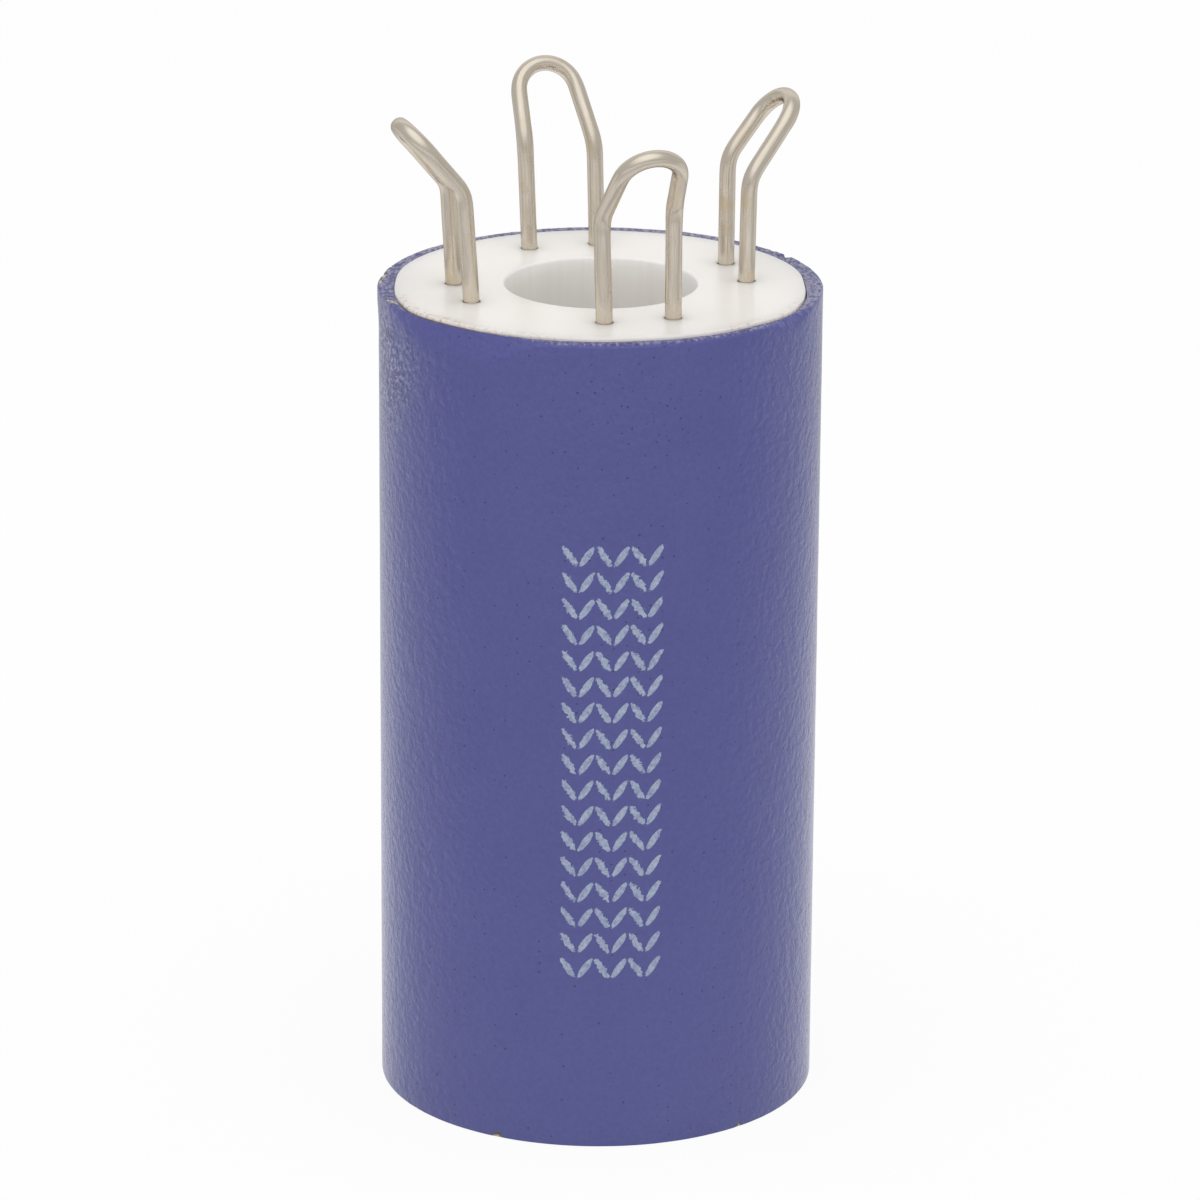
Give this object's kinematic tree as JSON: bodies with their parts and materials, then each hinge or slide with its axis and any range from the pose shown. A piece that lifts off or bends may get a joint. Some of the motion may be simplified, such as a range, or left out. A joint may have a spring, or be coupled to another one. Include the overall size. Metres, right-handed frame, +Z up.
{
  "type": "wire knitter",
  "caption": "Spool knitter for craft wire: a painted tube round a white plastic core with a through bore, and bent wire hooks that stand in drilled holes round the bore.",
  "frame": {"origin": "centre of the round base, on the surface that the knitter stands on", "axes": "+Z up along the tube and the bore; the hooks lean outwards along -Y (front), +X (right), +Y (back) and -X (left)"},
  "size_m": [0.0404, 0.0404, 0.0935],
  "materials": {
    "blue_paint": "satin",
    "white_plastic": "satin",
    "bright_wire": "satin"
  },
  "bodies": {
    "root": {"sleeve": "blue_paint", "core": "white_plastic", "hook_front": "bright_wire", "hook_right": "bright_wire", "hook_back": "bright_wire", "hook_left": "bright_wire"}
  },
  "joints": []
}
